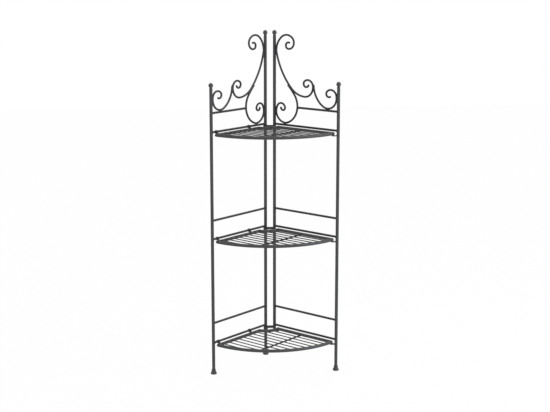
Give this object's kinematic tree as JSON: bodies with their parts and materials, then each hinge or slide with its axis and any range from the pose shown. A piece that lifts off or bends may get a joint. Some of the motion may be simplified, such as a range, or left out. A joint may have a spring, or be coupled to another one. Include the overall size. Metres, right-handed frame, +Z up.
{
  "type": "folding corner plant stand",
  "caption": "Quarter-round tiered corner stand of dark coated steel tube and rod: scroll-topped side frames hinged at the back, wire shelves that fold up.",
  "frame": {"origin": "centre of the stand's footprint on the floor", "axes": "+Z up, +Y towards the corner of the room that the stand fills, +X to the right seen from the front"},
  "size_m": [0.4904, 0.3224, 1.2795],
  "materials": {
    "frame_steel": "fine satin powder coat, dark anthracite grey",
    "shelf_steel": "fine satin powder coat, dark anthracite grey",
    "finials": "fine satin powder coat, dark anthracite grey",
    "feet": "fine satin powder coat, dark anthracite grey, worn at the sole"
  },
  "bodies": {
    "left_frame": {"hinge_collar": "frame_steel", "left_back_finial": "finials", "left_back_foot": "feet", "left_back_post": "frame_steel", "left_back_scroll": "frame_steel", "left_bottom_guard_rail": "frame_steel", "left_bottom_rail": "frame_steel", "left_front_finial": "finials", "left_front_foot": "feet", "left_front_post": "frame_steel", "left_front_scroll": "frame_steel", "left_middle_guard_rail": "frame_steel", "left_middle_rail": "frame_steel", "left_middle_scroll": "frame_steel", "left_top_guard_rail": "frame_steel", "left_top_rail": "frame_steel"},
    "right_frame": {"frame_hinge_eyes": "frame_steel", "right_back_finial": "finials", "right_back_post": "frame_steel", "right_back_scroll": "frame_steel", "right_bottom_guard_rail": "frame_steel", "right_bottom_rail": "frame_steel", "right_front_finial": "finials", "right_front_foot": "feet", "right_front_post": "frame_steel", "right_front_scroll": "frame_steel", "right_middle_guard_rail": "frame_steel", "right_middle_rail": "frame_steel", "right_middle_scroll": "frame_steel", "right_top_guard_rail": "frame_steel", "right_top_rail": "frame_steel", "shelf_rest_tabs": "frame_steel"},
    "bottom_shelf": {"bottom_shelf_corner": "shelf_steel", "bottom_shelf_cross_bar": "shelf_steel", "bottom_shelf_hinge_eyes": "shelf_steel", "bottom_shelf_left_bar": "shelf_steel", "bottom_shelf_right_bar": "shelf_steel", "bottom_shelf_rim": "shelf_steel", "bottom_shelf_slats": "shelf_steel"},
    "middle_shelf": {"middle_shelf_corner": "shelf_steel", "middle_shelf_cross_bar": "shelf_steel", "middle_shelf_hinge_eyes": "shelf_steel", "middle_shelf_left_bar": "shelf_steel", "middle_shelf_right_bar": "shelf_steel", "middle_shelf_rim": "shelf_steel", "middle_shelf_slats": "shelf_steel"},
    "top_shelf": {"top_shelf_corner": "shelf_steel", "top_shelf_cross_bar": "shelf_steel", "top_shelf_hinge_eyes": "shelf_steel", "top_shelf_left_bar": "shelf_steel", "top_shelf_right_bar": "shelf_steel", "top_shelf_rim": "shelf_steel", "top_shelf_slats": "shelf_steel"}
  },
  "joints": [
    {"name": "right_frame_fold", "type": "hinge", "parent": "left_frame", "child": "right_frame", "pos_m": [-0.0175, 0.14918, 0.11], "axis": [0, 0, -1], "range_deg": [0, 90]},
    {"name": "bottom_shelf_fold", "type": "hinge", "parent": "left_frame", "child": "bottom_shelf", "pos_m": [-0.12406, 0.04008, 0.124], "axis": [-0.7071, -0.7071, 0], "range_deg": [0, 90]},
    {"name": "middle_shelf_fold", "type": "hinge", "parent": "left_frame", "child": "middle_shelf", "pos_m": [-0.12406, 0.04008, 0.524], "axis": [-0.7071, -0.7071, 0], "range_deg": [0, 90]},
    {"name": "top_shelf_fold", "type": "hinge", "parent": "left_frame", "child": "top_shelf", "pos_m": [-0.12406, 0.04008, 0.924], "axis": [-0.7071, -0.7071, 0], "range_deg": [0, 90]}
  ]
}
